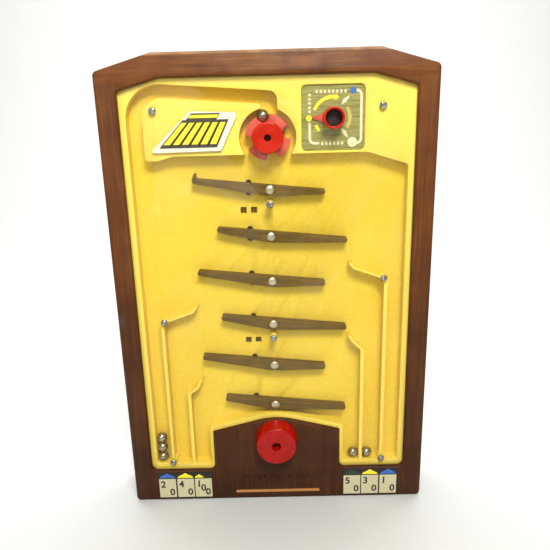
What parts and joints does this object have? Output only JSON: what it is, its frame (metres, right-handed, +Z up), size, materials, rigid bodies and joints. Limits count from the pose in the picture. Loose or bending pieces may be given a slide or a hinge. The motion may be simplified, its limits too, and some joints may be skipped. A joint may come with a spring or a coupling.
{
  "type": "clockwork ball run game",
  "caption": "Standing clockwork ball game: a cased tray with tilting beams behind a clear cover, a ball feeder wheel, a steering knob, a speed dial and numbered columns.",
  "frame": {"origin": "bottom centre of the whole object's box, on the surface that it stands on", "axes": "+Z up, -Y towards the front, +X to the right as seen from the front"},
  "size_m": [0.33, 0.075, 0.49],
  "materials": {
    "brown_plastic": "moulded, faint grain",
    "yellow_plastic": "moulded, satin",
    "clear_sheet": "clear, lightly scuffed",
    "olive_plastic": "moulded, satin",
    "red_plastic": "moulded, gloss",
    "nickel_plate": "satin nickel",
    "steel": "zinc plated",
    "ball_steel": "polished",
    "brass": "stamped",
    "printed_plate": "printed foil",
    "label": "printed film"
  },
  "bodies": {
    "case": {"front_case": "brown_plastic", "rear_cover": "brown_plastic", "playfield": "yellow_plastic", "clear_cover": "clear_sheet", "pivot_pin_1": "nickel_plate", "pivot_pin_2": "nickel_plate", "pivot_pin_3": "nickel_plate", "pivot_pin_4": "nickel_plate", "pivot_pin_5": "nickel_plate", "pivot_pin_6": "nickel_plate", "dial_plate": "printed_plate", "title_label": "label", "score_label_left": "label", "score_label_right": "label", "cover_screw_1": "steel", "cover_screw_2": "steel", "cover_screw_3": "steel", "cover_screw_4": "steel", "cover_screw_5": "steel", "cover_screw_6": "steel", "cover_screw_7": "steel", "cover_screw_8": "steel", "rear_screw_1": "steel", "rear_screw_2": "steel", "rear_screw_3": "steel", "rear_screw_4": "steel", "rear_screw_5": "steel", "rear_screw_6": "steel", "motor_front_plate": "steel", "motor_rear_plate": "steel", "mainspring": "steel"},
    "steering": {"steering_knob": "red_plastic", "steering_crank": "nickel_plate", "steering_screw": "steel"},
    "bar": {"drive_bar": "olive_plastic"},
    "beam_1": {"rocker_beam_1": "olive_plastic"},
    "beam_2": {"rocker_beam_2": "olive_plastic"},
    "beam_3": {"rocker_beam_3": "olive_plastic"},
    "beam_4": {"rocker_beam_4": "olive_plastic"},
    "beam_5": {"rocker_beam_5": "olive_plastic"},
    "beam_6": {"rocker_beam_6": "olive_plastic"},
    "feeder": {"feeder_wheel": "red_plastic", "feeder_knob": "red_plastic", "feeder_arbor": "steel", "feeder_screw": "steel", "great_wheel": "brass", "steel_ball_6": "ball_steel"},
    "second": {"second_wheel": "brass"},
    "regulator": {"governor": "brass"},
    "speed": {"speed_knob": "red_plastic", "speed_pointer": "red_plastic", "speed_cam": "nickel_plate"},
    "lever": {"brake_lever": "nickel_plate"},
    "ball_1": {"steel_ball_1": "ball_steel"},
    "ball_2": {"steel_ball_2": "ball_steel"},
    "ball_3": {"steel_ball_3": "ball_steel"},
    "ball_4": {"steel_ball_4": "ball_steel"},
    "ball_5": {"steel_ball_5": "ball_steel"}
  },
  "joints": [
    {"name": "steering_turn", "type": "hinge", "parent": "case", "child": "steering", "pos_m": [0, -0.00775, 0.0782], "axis": [0, 1, 0], "range_deg": [-52.5, 7.5]},
    {"name": "beam_1_tilt", "type": "hinge", "parent": "case", "child": "beam_1", "pos_m": [0, -0.00775, 0.358], "axis": [0, 1, 0], "range_deg": [-14.05, 2.05]},
    {"name": "beam_2_tilt", "type": "hinge", "parent": "case", "child": "beam_2", "pos_m": [0, -0.00775, 0.3097], "axis": [0, 1, 0], "range_deg": [-14.05, 2.05]},
    {"name": "beam_3_tilt", "type": "hinge", "parent": "case", "child": "beam_3", "pos_m": [0, -0.00775, 0.26139], "axis": [0, 1, 0], "range_deg": [-14.05, 2.05]},
    {"name": "beam_4_tilt", "type": "hinge", "parent": "case", "child": "beam_4", "pos_m": [0, -0.00775, 0.21309], "axis": [0, 1, 0], "range_deg": [-14.05, 2.05]},
    {"name": "beam_5_tilt", "type": "hinge", "parent": "case", "child": "beam_5", "pos_m": [0, -0.00775, 0.16478], "axis": [0, 1, 0], "range_deg": [-14.05, 2.05]},
    {"name": "beam_6_tilt", "type": "hinge", "parent": "case", "child": "beam_6", "pos_m": [0, -0.00775, 0.11648], "axis": [0, 1, 0], "range_deg": [-14.05, 2.05]},
    {"name": "bar_lift", "type": "slide", "parent": "case", "child": "bar", "axis": [0, 0, 1], "range_m": [-0.00535, 0.00077]},
    {"name": "feeder_spin", "type": "hinge", "parent": "case", "child": "feeder", "pos_m": [-0.0006, -0.00775, 0.4095], "axis": [0, 1, 0], "continuous": true},
    {"name": "second_spin", "type": "hinge", "parent": "case", "child": "second", "pos_m": [0.0298, 0.01425, 0.4095], "axis": [0, 1, 0], "continuous": true},
    {"name": "regulator_spin", "type": "hinge", "parent": "case", "child": "regulator", "pos_m": [0.0602, 0.01425, 0.4095], "axis": [0, 1, 0], "continuous": true},
    {"name": "speed_turn", "type": "hinge", "parent": "case", "child": "speed", "pos_m": [0.0635, -0.00775, 0.4267], "axis": [0, 1, 0], "range_deg": [-130, 130]},
    {"name": "lever_press", "type": "hinge", "parent": "case", "child": "lever", "pos_m": [0.086, 0.01925, 0.41815], "axis": [0, 1, 0], "range_deg": [-1.3, 1.3]},
    {"name": "ball_1_roll", "type": "slide", "parent": "case", "child": "ball_1", "axis": [0, 0, 1], "range_m": [0, 0.14]},
    {"name": "ball_2_roll", "type": "slide", "parent": "case", "child": "ball_2", "axis": [0, 0, 1], "range_m": [0, 0.14]},
    {"name": "ball_3_roll", "type": "slide", "parent": "case", "child": "ball_3", "axis": [0, 0, 1], "range_m": [0, 0.14]},
    {"name": "ball_4_roll", "type": "slide", "parent": "case", "child": "ball_4", "axis": [0, 0, 1], "range_m": [0, 0.11]},
    {"name": "ball_5_roll", "type": "slide", "parent": "case", "child": "ball_5", "axis": [0, 0, 1], "range_m": [0, 0.18]}
  ],
  "couplings": [
    {"joint": "beam_1_tilt", "follows": "steering_turn", "ratio": 0.26667},
    {"joint": "beam_2_tilt", "follows": "steering_turn", "ratio": 0.26667},
    {"joint": "beam_3_tilt", "follows": "steering_turn", "ratio": 0.26667},
    {"joint": "beam_4_tilt", "follows": "steering_turn", "ratio": 0.26667},
    {"joint": "beam_5_tilt", "follows": "steering_turn", "ratio": 0.26667},
    {"joint": "beam_6_tilt", "follows": "steering_turn", "ratio": 0.26667},
    {"joint": "bar_lift", "follows": "steering_turn", "m_per_rad": 0.005821},
    {"joint": "second_spin", "follows": "feeder_spin", "ratio": -3},
    {"joint": "regulator_spin", "follows": "feeder_spin", "ratio": 9},
    {"joint": "lever_press", "follows": "speed_turn", "ratio": -0.009793},
    {"joint": "ball_2_roll", "follows": "ball_1_roll", "ratio": 1},
    {"joint": "ball_3_roll", "follows": "ball_1_roll", "ratio": 1}
  ]
}
